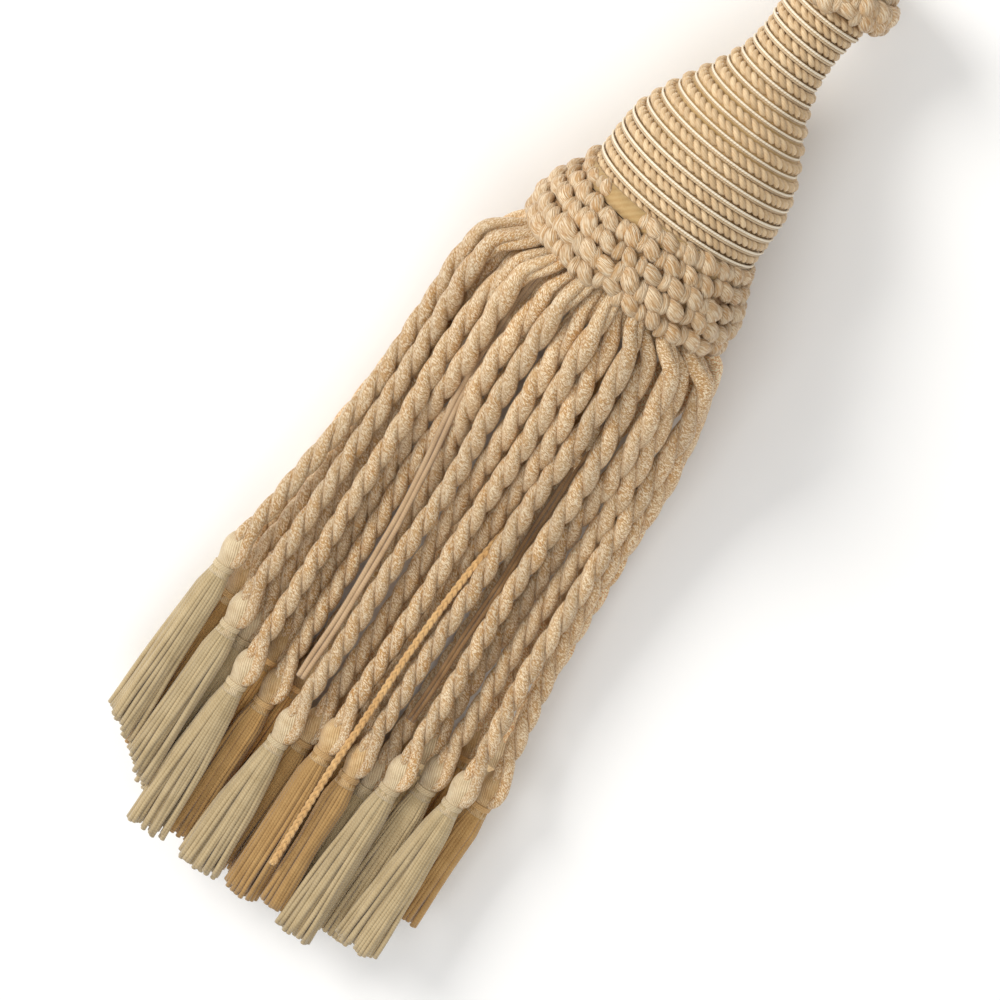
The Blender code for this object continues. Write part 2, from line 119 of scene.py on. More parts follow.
UPPER_COLUMNS = (
    "ring", "shoulder_x", "waist_x", "knot_x", "tip_x", "layer", "knot_at", "tip_at", "width", "shade"
)
UPPER_ROPES = [
    (0, -36.3, -37.6, -43.0, -43.0, 3, 113.8, 175.5, 9.2, "cream"),
    (2, -34.5, -34.6, -37.6, -37.8, 2, 121.0, 181.0, 8.0, "gold"),
    (0, -32.4, -32.0, -33.2, -33.2, 3, 126.0, 183.0, 9.4, "cream"),
    (2, -30.7, -28.6, -28.8, -28.8, 2, 129.3, 189.0, 8.6, "cream"),
    (1, -26.7, -25.6, -24.0, -22.6, 3, 138.0, 195.5, 11.0, "cream"),
    (0, -21.6, -22.1, -20.0, -20.0, 1, 132.0, 186.0, 9.0, "gold"),
    (2, -18.0, -17.6, -15.5, -15.5, 2, 140.0, 194.0, 9.0, "gold"),
    (1, -15.0, -12.2, -10.4, -10.4, 1, 134.0, 187.0, 8.8, "gold"),
    (0, -9.2, -7.6, -7.0, -5.9, 3, 144.6, 196.4, 11.6, "cream"),
    (1, -3.5, -2.8, -1.4, -2.0, 2, 142.8, 194.5, 8.6, "gold"),
    (0, 1.8, 2.4, 4.0, 6.4, 3, 140.0, 195.5, 9.6, "gold"),
    (1, 7.0, 7.0, 8.5, 8.2, 2, 138.0, 191.0, 8.6, "gold"),
    (0, 12.2, 11.9, 12.7, 15.0, 3, 141.4, 193.2, 7.0, "gold"),
    (2, 15.8, 16.2, 18.4, 18.4, 2, 143.5, 189.0, 9.0, "cream"),
    (1, 18.8, 20.0, 23.2, 23.8, 3, 138.0, 196.5, 10.0, "cream"),
    (0, 24.2, 24.4, 25.8, 25.8, 1, 132.0, 187.0, 9.0, "cream"),
    (1, 28.6, 29.0, 30.8, 31.4, 2, 134.7, 193.0, 10.2, "cream"),
    (0, 32.9, 33.9, 38.6, 38.8, 3, 132.0, 190.0, 11.4, "cream"),
    (1, 35.8, 36.9, 44.8, 44.8, 2, 129.9, 178.0, 8.6, "gold"),
]

# Lower ropes, hidden under the others: layer and place of the knot. The rest follows one rule.
LOWER_ROPES = [
    (0, -41.6),
    (1, -34.0),
    (0, -26.4),
    (0, -11.3),
    (1, -0.5),
    (0, 3.8),
    (1, 10.5),
    (0, 18.9),
    (0, 34.0),
    (1, 41.6),
]
LOWER_KNOT_AT = 134.0
LOWER_TIP_AT = 186.0
LOWER_RIM_RISE = 12.0
LOWER_WIDTH = 9.6
LOWER_SPREAD = 35.0
LOWER_SIDE_RISE = 7.5
LOWER_RING_RADIUS = 24.4
LOWER_FLARE_WIDTH = 31.0
LOWER_FLARE_SHARE = 0.86
LOWER_WAIST_SHARE = 0.92
LOWER_WAIST_LIFT = 0.7
LOWER_LEVEL_SHARE = 0.96
LOWER_CREAM_EVERY = 3
LOOSE_STRANDS = [
    # name, yarn, how many lie side by side, how far apart, strand radius, flatness,
    # stops of (distance, x, height)
    ("rose_pair", "rose", 2, 1.3, 0.68, 0.8, [
        (-3.0, -13.2, 47.7),
        (3.2, -13.6, 48.2),
        (9.5, -17.8, 46.9),
        (37.0, -18.2, 38.4),
        (54.0, -17.4, 30.2),
        (72.0, -14.9, 22.8),
        (90.0, -13.2, 20.4),
        (108.0, -11.9, 20.2),
        (138.0, -11.2, 19.2),
    ]),
    ("gold_braid", "braid", 3, 0.52, 0.5, 0.9, [
        (-3.0, 3.1, 45.0),
        (3.2, 3.4, 45.6),
        (9.5, 5.5, 43.8),
        (37.0, 10.0, 36.6),
        (54.0, 10.6, 29.0),
        (72.0, 10.4, 21.2),
        (90.0, 8.7, 22.4),
        (114.0, 7.9, 22.6),
        (136.0, 8.2, 22.8),
        (152.0, 8.3, 24.8),
        (182.0, 9.6, 24.8),
    ]),
    ("brown_pair", "brown", 2, 1.15, 0.58, 0.8, [
        (-3.0, 8.9, 51.0),
        (3.2, 9.2, 51.8),
        (9.5, 12.8, 50.4),
        (37.0, 15.5, 39.4),
        (54.0, 15.8, 31.6),
        (72.0, 16.5, 22.8),
        (90.0, 17.0, 20.6),
        (104.0, 17.3, 19.6),
        (131.0, 17.8, 18.9),
    ]),
]
PLAITED = "gold_braid"
UP = np.array((0.0, 0.0, 1.0))
FEWEST_STEPS = 3


# ---------------------------------------- what every section uses

def to_metres(points):
    """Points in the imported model's frame."""
    return (points + (FOOTPRINT_X, FOOTPRINT_Y, 0.0)) * MM


def add_object(name, data):
    """A new object in the scene."""
    made = bpy.data.objects.new(name, data)
    bpy.context.scene.collection.objects.link(made)
    return made


def unit(vectors):
    """Vectors of length 1 along the rows given."""
    return vectors / np.linalg.norm(vectors, axis=1)[:, None]


def along_table(table, at, column=1):
    """Values of a table's column at distances held in its first column."""
    return np.interp(at, [row[0] for row in table], [row[column] for row in table])


def head_point(along, radius, angle):
    """Points round the head's axis; angle 90 degrees is up."""
    across = radius * np.cos(angle)
    rise = radius * np.sin(angle)
    forward = along * math.cos(HEAD_DROOP) + rise * math.sin(HEAD_DROOP)
    height = RIM_HEIGHT - along * math.sin(HEAD_DROOP) + rise * math.cos(HEAD_DROOP)
    x = RIM_X + across * math.cos(HEAD_TURN) + forward * math.sin(HEAD_TURN)
    y = -across * math.sin(HEAD_TURN) + forward * math.cos(HEAD_TURN)
    return np.stack(np.broadcast_arrays(x, y, height), axis=-1)


HEAD_AXIS = head_point(1.0, 0.0, 0.0) - head_point(0.0, 0.0, 0.0)


def smooth_route(stops, at):
    """Points (x, height) of the smooth line through stops of (distance, x, height)."""
    stops = np.asarray(stops, float)
    at = np.clip(at, stops[0, 0], stops[-1, 0])
    low = np.clip(np.searchsorted(stops[:, 0], at, side="right") - 1, 0, len(stops) - 2)
    before = stops[np.maximum(low - 1, 0)]
    start = stops[low]
    end = stops[low + 1]
    after = stops[np.minimum(low + 2, len(stops) - 1)]
    span = (end[:, 0] - start[:, 0])[:, None]
    share = ((at - start[:, 0]) / span[:, 0])[:, None]
    slope_in = (end[:, 1:] - before[:, 1:]) / (end[:, 0] - before[:, 0])[:, None] * span
    slope_out = (after[:, 1:] - start[:, 1:]) / (after[:, 0] - start[:, 0])[:, None] * span
    cubic = (2 * start[:, 1:] - 2 * end[:, 1:] + slope_in + slope_out) * share**3
    square = (-3 * start[:, 1:] + 3 * end[:, 1:] - 2 * slope_in - slope_out) * share**2
    return cubic + square + slope_in * share + start[:, 1:]


def route(stops, step):
    """Distances and points along a route."""
    count = max(FEWEST_STEPS, round((stops[-1][0] - stops[0][0]) / step))
    at = np.linspace(stops[0][0], stops[-1][0], count + 1)
    places = smooth_route(stops, at)
    return at, np.stack([places[:, 0], -at, places[:, 1]], axis=-1)


# ---------------------------------------- camera, light and floor

AIM_X = 4.94
AIM_Y = -70.66
AIM_HEIGHT = 15.0
CAMERA_LEAN = math.radians(17.5)
CAMERA_ROLL = math.radians(34.5)
CAMERA_DISTANCE = 1.4  # metres, as the lights' places and the floor are
VIEW_REACH = 50.0
SENSOR_WIDTH = 36.0
LENS_LENGTH = 201.6
AREA_LIGHTS = [
    # name, place, the point it faces, side, watts, colour
    ("key", (-1.1, 0.35, 1.0), (0.0, -0.02, 0.02), 0.6, 15.2, (1.0, 0.98, 0.95)),
    ("fill", (0.05, -0.45, 1.35), (0.0, 0.0, 0.0), 0.9, 5.2, (0.98, 0.99, 1.0)),
]
SURROUND_COLOUR = (1.0, 0.99, 0.98, 1.0)
SURROUND_STRENGTH = 0.60
FLOOR_HALF_SIDE = 3.0
FLOOR_COLOUR = (0.93, 0.93, 0.92, 1.0)
FLOOR_ROUGHNESS = 0.9


def photo_camera():
    """The camera at the photograph's angle: over the head's side, rolled so the tassel lies slantwise."""
    aim = Vector((AIM_X + FOOTPRINT_X, AIM_Y + FOOTPRINT_Y, AIM_HEIGHT)) * MM
    back = Vector((0.0, math.sin(CAMERA_LEAN), math.cos(CAMERA_LEAN)))
    across = Vector((1.0, 0.0, 0.0))
    headward = Vector((0.0, math.cos(CAMERA_LEAN), -math.sin(CAMERA_LEAN)))
    right = across * math.cos(CAMERA_ROLL) + headward * math.sin(CAMERA_ROLL)
    up = headward * math.cos(CAMERA_ROLL) - across * math.sin(CAMERA_ROLL)
    data = bpy.data.cameras.new("camera")
    data.sensor_width = SENSOR_WIDTH
    data.lens = LENS_LENGTH
    data.clip_end = VIEW_REACH
    camera = add_object("camera", data)
    turn = Matrix((right, up, back)).transposed().to_4x4()
    camera.matrix_world = Matrix.Translation(aim + back * CAMERA_DISTANCE) @ turn
    bpy.context.scene.camera = camera


def area_light(name, place, target, size, power, colour):
    """A soft square light that faces a point."""
    data = bpy.data.lights.new(name, "AREA")
    data.size = size
    data.energy = power
    data.color = colour
    light = add_object(name, data)
    direction = Vector(target) - Vector(place)
    turn = direction.to_track_quat("-Z", "Y").to_matrix().to_4x4()
    light.matrix_world = Matrix.Translation(Vector(place)) @ turn


def pale_floor():
    """The surface that the tassel lies on, which is no part of it."""
    half = FLOOR_HALF_SIDE
    corners = [(-half, -half, 0), (half, -half, 0), (half, half, 0), (-half, half, 0)]
    mesh = bpy.data.meshes.new("floor")
    mesh.from_pydata(corners, [], [(0, 1, 2, 3)])
    floor = add_object("floor", mesh)
    paint = Shading("floor_paint", FLOOR_ROUGHNESS)
    paint.shader.inputs["Base Color"].default_value = FLOOR_COLOUR
    mesh.materials.append(paint.material)


def studio():
    """Soft light from the tassel's left, a bright surround and a pale floor."""
    for light in AREA_LIGHTS:
        area_light(*light)
    world = bpy.data.worlds.new("surround")
    world.use_nodes = True
    shade = world.node_tree.nodes["Background"]
    shade.inputs["Color"].default_value = SURROUND_COLOUR
    shade.inputs["Strength"].default_value = SURROUND_STRENGTH
    bpy.context.scene.world = world
    bpy.context.scene.view_settings.view_transform = "Standard"
    pale_floor()


# ---------------------------------------- materials

def srgb(red, green, blue):
    """A colour of 0 to 255 values as linear values."""
    return tuple(((value / 255 + 0.055) / 1.055) ** 2.4 for value in (red, green, blue)) + (1.0,)


class Shading:
    """A material's node tree with short ways to add nodes."""

    def __init__(self, name, roughness, sheen=0.0):
        self.material = bpy.data.materials.new(name)
        self.material.use_nodes = True
        self.tree = self.material.node_tree
        self.shader = self.tree.nodes["Principled BSDF"]
        self.shader.inputs["Roughness"].default_value = roughness
        self.shader.inputs["Sheen Weight"].default_value = sheen

    def add(self, kind, inputs, output=0, **settings):
        """A node with its inputs set or linked; returns one of its outputs."""
        made = self.tree.nodes.new(kind)
        for key, value in settings.items():
            setattr(made, key, value)
        for key, value in inputs.items():
            if isinstance(value, bpy.types.NodeSocket):
                self.tree.links.new(value, made.inputs[key])
            else:
                made.inputs[key].default_value = value
        return made.outputs[output]

    def math(self, operation, first, second=0.0):
        """One Math node."""
        return self.add("ShaderNodeMath", {0: first, 1: second}, operation=operation)

    def mix(self, share, first, second, blend="MIX"):
        """One colour mix."""
        inputs = {0: share, 6: first, 7: second}
        return self.add("ShaderNodeMix", inputs, output=2, data_type="RGBA", blend_type=blend)

    def noise(self, scale, detail):
        """Noise in object space, scale per millimetre."""
        place = self.add("ShaderNodeTexCoord", {}, output=3)
        inputs = {"Vector": place, "Scale": scale / MM, "Detail": detail}
        return self.add("ShaderNodeTexNoise", inputs)

    def ramp(self, value, low, high):
        """A value stretched from low..high to 0..1."""
        inputs = {"Value": value, "From Min": low, "From Max": high}
        return self.add("ShaderNodeMapRange", inputs)

    def yarn(self):
        """Distance along the yarn in millimetres and share of the way round it."""
        place = self.add("ShaderNodeUVMap", {}, uv_map="yarn")
        split = self.tree.nodes.new("ShaderNodeSeparateXYZ")
        self.tree.links.new(place, split.inputs[0])
        return split.outputs[0], split.outputs[1]

    def twist(self, count, pitch):
        """Ridges of a twist: count starts round the yarn, each rising a full turn in count pitches."""
        along, around = self.yarn()
        phase = self.math("ADD", self.math("MULTIPLY", around, count), self.math("DIVIDE", along, pitch))
        wave = self.math("SINE", self.math("MULTIPLY", phase, math.tau))
        return self.add("ShaderNodeMath", {0: wave, 1: 0.5, 2: 0.5}, operation="MULTIPLY_ADD")

    def dashes(self, girth, width, length, lead):
        """Short slantwise dashes round a yarn: distance from a dash's middle, and its own number."""
        along, around = self.yarn()
        slant = self.math("ADD", around, self.math("DIVIDE", along, lead))
        turn = self.math("MULTIPLY", slant, math.tau)
        reach = girth / math.tau / width
        across = self.math("MULTIPLY", self.math("COSINE", turn), reach)
        deep = self.math("MULTIPLY", self.math("SINE", turn), reach)
        forward = self.math("DIVIDE", along, length)
        place = self.add("ShaderNodeCombineXYZ", {0: across, 1: deep, 2: forward})
        away = self.add("ShaderNodeTexVoronoi", {"Vector": place, "Scale": 1.0, "Randomness": 0.85})
        number = self.math("ADD", away.node.outputs["Color"], 0.0)
        return away, number

    def patches(self, first, second, scale, low, high):
        """Two colours in soft patches."""
        share = self.ramp(self.noise(scale, detail=2.0), low, high)
        return self.mix(share, first, second)

    def weighted(self, value, weight):
        """A value times a weight."""
        return self.math("MULTIPLY", value, weight)

    def paint_shade(self, colour, share, tint):
        """Painted shade: the colour multiplied by a darker tint, by a share."""
        return self.mix(share, colour, self.mix(1.0, colour, tint, "MULTIPLY"))

    def finish(self, colour, height, strength, depth):
        """Connects the colour and a bump of some millimetres' depth; returns the material."""
        self.tree.links.new(colour, self.shader.inputs["Base Color"])
        inputs = {"Strength": strength, "Distance": depth * MM, "Height": height}
        bump = self.add("ShaderNodeBump", inputs)
        self.tree.links.new(bump, self.shader.inputs["Normal"])
        return self.material


def strand_tint(shading, colour, spread):
    """Each strand a little lighter or darker at random, and lighter by its yarn's painted light lift."""
    tint = shading.add("ShaderNodeAttribute", {}, output=2, attribute_name="tint")
    inputs = {"Value": tint, "To Min": 1 - spread, "To Max": 1 + spread}
    light = shading.add("ShaderNodeMapRange", inputs, clamp=False)
    inputs = {"Hue": 0.5, "Saturation": 1.0, "Value": light, "Fac": 1.0, "Color": colour}
    return shading.add("ShaderNodeHueSaturation", inputs)


def floss_material(name, colours, girth, width, length, lead):
    """Shiny braided cord: dull dashes and bright ones, partly paler yarn and partly painted highlight
    glints, over patches of cream and gold, with painted shade between the dashes.
    """
    pale, middle, deep, groove_shade = colours
    shading = Shading(name, roughness=0.36, sheen=0.1)
    away, number = shading.dashes(girth, width, length, lead)
    ground = shading.patches(middle, deep, scale=0.15, low=0.40, high=0.62)
    # Bright dashes: partly paler yarn, partly painted highlight glints.
    colour = shading.mix(shading.ramp(number, low=0.42, high=0.60), ground, pale)
    # Painted shade towards each dash's edge, in the grooves between dashes.
    colour = shading.paint_shade(colour, shading.ramp(away, low=0.36, high=0.74), groove_shade)
    dome = shading.math("SUBTRACT", shading.weighted(number, 0.9), away)
    colour = strand_tint(shading, colour, spread=0.10)
    return shading.finish(colour, dome, strength=0.95, depth=0.28)


def cotton_material(name, light, dark, ribs, pitch):
    """Matte knitted yarn with fine slanting ribs, and painted shade in the grooves between them."""
    shading = Shading(name, roughness=0.82, sheen=0.3)
    rib = shading.twist(ribs, pitch)
    grain = shading.noise(scale=2.2, detail=3.0)
    colour = shading.patches(light, dark, scale=0.2, low=0.3, high=0.7)
    # Painted shade in the rib grooves.
    colour = shading.paint_shade(colour, shading.weighted(rib, 0.5), COTTON_GROOVE_SHADE)
    colour = shading.mix(shading.ramp(grain, low=0.50, high=0.85), colour, light)
    height = shading.math("ADD", rib, shading.weighted(grain, 0.9))
    colour = strand_tint(shading, colour, spread=0.08)
    return shading.finish(colour, height, strength=0.45, depth=0.12)


def thread_material(name, light, dark):
    """A skin of fine shiny threads laid side by side, with painted shade between them."""
    shading = Shading(name, roughness=0.36, sheen=0.2)
    thread = shading.twist(count=36, pitch=1.9)
    grain = shading.noise(scale=1.6, detail=3.0)
    colour = shading.patches(light, dark, scale=0.4, low=0.3, high=0.7)
    # Painted shade in the grooves between threads.
    colour = shading.paint_shade(colour, shading.weighted(thread, 0.6), THREAD_GROOVE_SHADE)
    colour = shading.mix(shading.ramp(grain, low=0.52, high=0.80), colour, light)
    height = shading.math("ADD", thread, shading.weighted(grain, 1.2))
    return shading.finish(colour, height, strength=0.8, depth=0.22)


def ply_material(name, light, dark):
    """Ply of the wound cord: fine fibres along a slow twist, with painted shade between them."""
    shading = Shading(name, roughness=0.5, sheen=0.2)
    fibre = shading.twist(count=9, pitch=3.0)
    grain = shading.noise(scale=1.8, detail=3.0)
    colour = shading.patches(light, dark, scale=0.35, low=0.35, high=0.65)
    # Painted shade in the grooves between fibres.
    colour = shading.paint_shade(colour, shading.weighted(fibre, 0.35), PLY_GROOVE_SHADE)
    height = shading.math("ADD", fibre, shading.weighted(grain, 0.8))
    return shading.finish(colour, height, strength=0.35, depth=0.10)


# Painted shade in the grooves of a yarn: tints, linear, over the yarn's own colour.
ROPE_GROOVE_SHADE = (0.66, 0.49, 0.32, 1.0)
RUFF_GROOVE_SHADE = (0.74, 0.60, 0.45, 1.0)
COTTON_GROOVE_SHADE = (0.80, 0.68, 0.54, 1.0)
THREAD_GROOVE_SHADE = (0.72, 0.58, 0.42, 1.0)
PLY_GROOVE_SHADE = (0.78, 0.66, 0.50, 1.0)
# Pale, middle and deep colour of a floss, then the tint of the painted shade in its grooves. The pale
# colour is partly paler yarn and partly painted highlight glints.
ROPE_COLOURS = (srgb(250, 231, 198), srgb(222, 190, 143), srgb(213, 169, 108), ROPE_GROOVE_SHADE)
RUFF_COLOURS = (srgb(232, 211, 178), srgb(213, 185, 146), srgb(206, 167, 116), RUFF_GROOVE_SHADE)
PLY_YARNS = [
    # key, material, light and dark colour
    ("cord", "head_cord", (226, 200, 160), (210, 180, 138)),
    ("cord_dull", "head_cord_dull", (207, 179, 139), (193, 164, 123)),
]
THREAD_YARNS = [
    # key, material, light and dark colour
    ("thread_cream", "cream_thread", (232, 214, 178), (208, 184, 144)),
    ("thread_gold", "gold_thread", (226, 196, 146), (204, 164, 108)),
]
COTTON_YARNS = [
    # key, material, light and dark colour, ribs round the yarn, their pitch
    ("gimp", "head_gimp", (206, 184, 150), (190, 166, 130), 1, 0.7),
    ("white", "head_thread", (246, 236, 214), (238, 226, 202), 1, 0.9),
    ("band", "head_band", (196, 164, 112), (180, 148, 94), 1, 0.9),
    # ground: the wall under the ruff's knots, darker than the band as painted shade in the holes between
    # knots.
    ("ground", "ruff_shaded_ground", (178, 144, 100), (158, 122, 80), 2, 0.8),
    # core: the skirt's backing, in a dark brown that is painted shade for the gaps between the ropes at
    # the rim.
    ("core", "backing_painted_shade", (150, 114, 72), (122, 88, 52), 2, 0.8),
    ("cream", "cream_yarn", (188, 169, 131), (174, 154, 115), 2, 0.8),
    ("gold", "gold_yarn", (177, 141, 86), (163, 126, 72), 2, 0.8),
    ("neck_cream", "cream_neck_thread", (208, 191, 156), (196, 176, 140), 1, 0.7),
    ("neck_gold", "gold_neck_thread", (196, 163, 112), (184, 148, 96), 1, 0.7),
    ("rose", "rose_yarn", (196, 168, 132), (180, 150, 114), 1, 0.7),
    ("braid", "braid_yarn", (210, 172, 116), (192, 150, 94), 4, 1.4),
    ("brown", "brown_yarn", (148, 114, 72), (120, 88, 50), 1, 0.7),
]


def make_materials():
    """Every yarn of the tassel by its key."""
    ply_girth = math.tau * PLY_RADIUS
    knot_girth = math.tau * KNOT_CORD_RADIUS
    made = {
        "rope": floss_material("rope_floss", ROPE_COLOURS, ply_girth, width=0.30, length=0.40, lead=21.0),
        "ruff": floss_material("ruff_floss", RUFF_COLOURS, knot_girth, width=0.29, length=1.5, lead=60.0),
    }
    for key, name, light, dark in PLY_YARNS:
        made[key] = ply_material(name, srgb(*light), srgb(*dark))
    for key, name, light, dark in THREAD_YARNS:
        made[key] = thread_material(name, srgb(*light), srgb(*dark))
    for key, name, light, dark, ribs, pitch in COTTON_YARNS:
        made[key] = cotton_material(name, srgb(*light), srgb(*dark), ribs, pitch)
    return made


# ---------------------------------------- yarn meshes

TUBE_END_RADIUS = 0.02
PATTERN_SPREAD = 40.0  # how far along its pattern a tube may start
NO_LENGTH = 1e-12  # keeps a division by the length of a zero vector finite
SURFACE_GAP = 0.0001  # metres


class Yarn:
    """Tubes of yarn gathered into one mesh, each with its place along and around it."""

    def __init__(self, tone=0.0):
        """Its argument, the yarn's lift, is painted light: how much lighter the yarn is, in whole ranges
        of strand_tint, so that yarn deep in a pile looks less shaded.
        """
        self.tone = tone
        self.points = []
        self.quads = []
        self.along = []
        self.around = []
        self.tints = []
        self.slots = []
        self.count = 0

    def tube(self, path, radius, reference, sides=8, slot=0, flat=1.0):
        """One closed tube; flat narrows it along the reference direction."""
        path = np.asarray(path, float)
        radius = np.broadcast_to(np.asarray(radius, float), (len(path),))
        flat = np.broadcast_to(np.asarray(flat, float), (len(path),))
        flat = np.concatenate([flat[:1], flat, flat[-1:]])[:, None, None]
        path = np.vstack([path[:1], path, path[-1:]])
        radius = np.concatenate([[TUBE_END_RADIUS], radius, [TUBE_END_RADIUS]])
        tangent = np.gradient(path[1:-1], axis=0)
        tangent = np.vstack([tangent[:1], tangent, tangent[-1:]])
        tangent /= np.linalg.norm(tangent, axis=1)[:, None] + NO_LENGTH
        if np.ndim(reference) > 1:
            reference = np.vstack([reference[:1], reference, reference[-1:]])
        side = np.cross(np.broadcast_to(reference, path.shape), tangent)
        side /= np.linalg.norm(side, axis=1)[:, None] + NO_LENGTH
        top = np.cross(tangent, side)
        turn = math.tau * np.arange(sides) / sides
        wide = radius[:, None, None] * np.cos(turn)[None, :, None] * side[:, None, :]
        high = radius[:, None, None] * flat * np.sin(turn)[None, :, None] * top[:, None, :]
        ring = path[:, None, :] + wide + high
        self.points.append(ring.reshape(-1, 3))
        rows = len(path) - 1
        first = self.count + (np.arange(rows) * sides)[:, None]
        low = first + np.arange(sides)
        next_low = first + (np.arange(sides) + 1) % sides
        quads = np.stack([low, next_low, next_low + sides, low + sides], axis=-1)
        self.quads.append(quads.reshape(-1, 4))
        steps = np.linalg.norm(np.diff(path, axis=0), axis=1)
        distance = np.concatenate([[0.0], np.cumsum(steps)]) + PATTERN_SPREAD * rng.random()
        near = np.broadcast_to(distance[:-1, None], (rows, sides))
        far = np.broadcast_to(distance[1:, None], (rows, sides))
        self.along.append(np.stack([near, near, far, far], axis=-1).reshape(-1))
        start = np.broadcast_to(np.arange(sides) / sides, (rows, sides))
        end = start + 1 / sides
        self.around.append(np.stack([start, end, end, start], axis=-1).reshape(-1))
        # The tint holds a random share plus the yarn's painted light lift.
        self.tints.append(np.full(len(path) * sides, rng.random() + self.tone))
        self.slots.append(np.full(rows * sides, slot))
        self.count += len(path) * sides

    def piece(self, name, materials):
        """The gathered tubes as one object in metres."""
        points = to_metres(np.vstack(self.points))
        points[:, 2] = np.maximum(points[:, 2], SURFACE_GAP)
        quads = np.vstack(self.quads)
        mesh = bpy.data.meshes.new(name)
        mesh.from_pydata(points.tolist(), [], quads.tolist())
        mesh.polygons.foreach_set("use_smooth", np.ones(len(quads), bool))
        mesh.polygons.foreach_set("material_index", np.concatenate(self.slots).astype(np.int32))
        layer = mesh.uv_layers.new(name="yarn")
        pairs = np.stack([np.concatenate(self.along), np.concatenate(self.around)], axis=-1)
        layer.data.foreach_set("uv", pairs.reshape(-1).astype(np.float32))
        tint = mesh.attributes.new("tint", "FLOAT", "POINT")
        tint.data.foreach_set("value", np.concatenate(self.tints).astype(np.float32))
        for material in materials:
            mesh.materials.append(material)
        mesh.update()
        return add_object(name, mesh)


def inset(profile, depth):
    """A profile moved inwards."""
    return [(along, radius - depth) for along, radius in profile]


def turned_surface(name, profile, sides, material):
    """A closed surface turned round the head's axis."""
    surface = Yarn()
    along = np.array([row[0] for row in profile])
    radius = np.array([row[1] for row in profile])
    axis = head_point(along, 0.0, 0.0)
    surface.tube(axis, radius, UP, sides)
    return surface.piece(name, [material])


# ---------------------------------------- the wound head

WINDING_LOW = 14.0
WINDING_HIGH = 83.0
COARSE_POINTS = 4000
CORD_PLY_RADIUS = 0.80
CORD_PLY_OFFSET = 0.56
CORD_PLY_SIDES = 7
CORD_HALF_TURN = 2.25
CORD_SINK = 0.85
CORD_STEP = 0.46
THREAD_SIDES = 6
THIN_WINDINGS = [
    # radius, lift outside the profile, shift along the head, distance between points:
    # the white thread, then the gimp
    (0.31, 0.22, -1.66, 1.6),
    (0.38, -0.12, -2.26, 1.8),
]
WINDING_YARNS = ("cord", "cord_dull", "white", "gimp")
MOULD_INSET = 1.0
MOULD_SIDES = 64


def helix(lift, shift, step):
    """Points wound round the head, lift outside the profile, with their length and place along it."""
    turns = (WINDING_HIGH - WINDING_LOW) / TURN_PITCH
    coarse = np.linspace(0.0, turns, COARSE_POINTS)
    along = WINDING_LOW + TURN_PITCH * coarse
    radius = along_table(HEAD_PROFILE, along) + lift
    length = np.concatenate([[0.0], np.cumsum(np.diff(coarse) * math.tau * radius[1:])])
    even = np.linspace(0.0, length[-1], int(length[-1] / step))
    turn = np.interp(even, length, coarse)
    along = WINDING_LOW + TURN_PITCH * turn
    radius = along_table(HEAD_PROFILE, along) + lift
    return head_point(along + shift, radius, math.tau * turn), even, along + shift


def wound_head(materials):
    """Two-ply cord, a white thread and a gimp wound side by side over the mould."""
    winding = Yarn()
    centre, length, along = helix(-CORD_SINK, 0.0, CORD_STEP)
    outward = unit(centre - head_point(along, 0.0, 0.0))
    turn = -math.pi * length / CORD_HALF_TURN
    for ply in (0, 1):
        lift = np.sin(turn + math.pi * ply)[:, None] * outward
        slide = np.cos(turn + math.pi * ply)[:, None] * HEAD_AXIS
        path = centre + CORD_PLY_OFFSET * (lift + slide)
        winding.tube(path, CORD_PLY_RADIUS, HEAD_AXIS, CORD_PLY_SIDES, ply)
    for slot, (radius, lift, shift, step) in enumerate(THIN_WINDINGS, start=2):
        winding.tube(helix(lift, shift, step)[0], radius, HEAD_AXIS, THREAD_SIDES, slot)
    piece = winding.piece("wound_cord", [materials[yarn] for yarn in WINDING_YARNS])
    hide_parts("head")
    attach(piece, "root")
    core = turned_surface("mould", inset(HEAD_PROFILE, MOULD_INSET), MOULD_SIDES, materials["band"])
    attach(core, "root")


# ---------------------------------------- the ruff and the top knot

KNOT_CORD_RADIUS = 2.0
KNOT_FLATNESS = 0.74
KNOT_POINTS = 13
KNOT_SIDES = 12
KNOT_BEND = 0.12  # how far an arc bends sideways, against its length
KNOT_TAPER = 0.78  # how much of an arc's section its ends lose
# An arc of cord: length and radius for a knot of size 1, how far it bulges and lies in.
OVER_ARC = (6.5, 2.2, 1.9, 1.6)
UNDER_ARC = (5.4, 1.75, 1.6, 1.8)
# Degrees from the way round the head towards its axis, and how far they stray.
OVER_TILT = (25, 11)
UNDER_TILT = (64, 12)
UNDER_DROP = 0.3
ANGLE_STRAY = 0.014  # radians
PLACE_STRAY = 0.38
SIZE_STRAY = 0.08

RUFF_KNOTS_ROUND = 27
RUFF_ROW_INSETS = (0.9, 0.2, 0.2, 0.5, 1.5)  # from the rim upwards
RUFF_ROWS_START = 1.2  # inside the ruff's ends, this and the next
RUFF_ROWS_STOP = 3.3
RUFF_FULL_RADIUS = 28.0  # a knot is of size 1 there
RUFF_GAP = (104.0, 126.0)  # degrees round the highest row that have no knot
RUFF_WALLS = [
    # name, material, places along the head
    # The lower wall's darker colour is painted shade in the holes between knots.
    ("ruff_shaded_ground", "ground", (-0.9, 4.0, 8.0, 13.0, 14.6)),
    ("ruff_band", "band", (14.9, 17.0, 19.2)),
]
WALL_INSET = 1.2
WALL_THICKNESS = 0.6
WALL_SIDES = 72

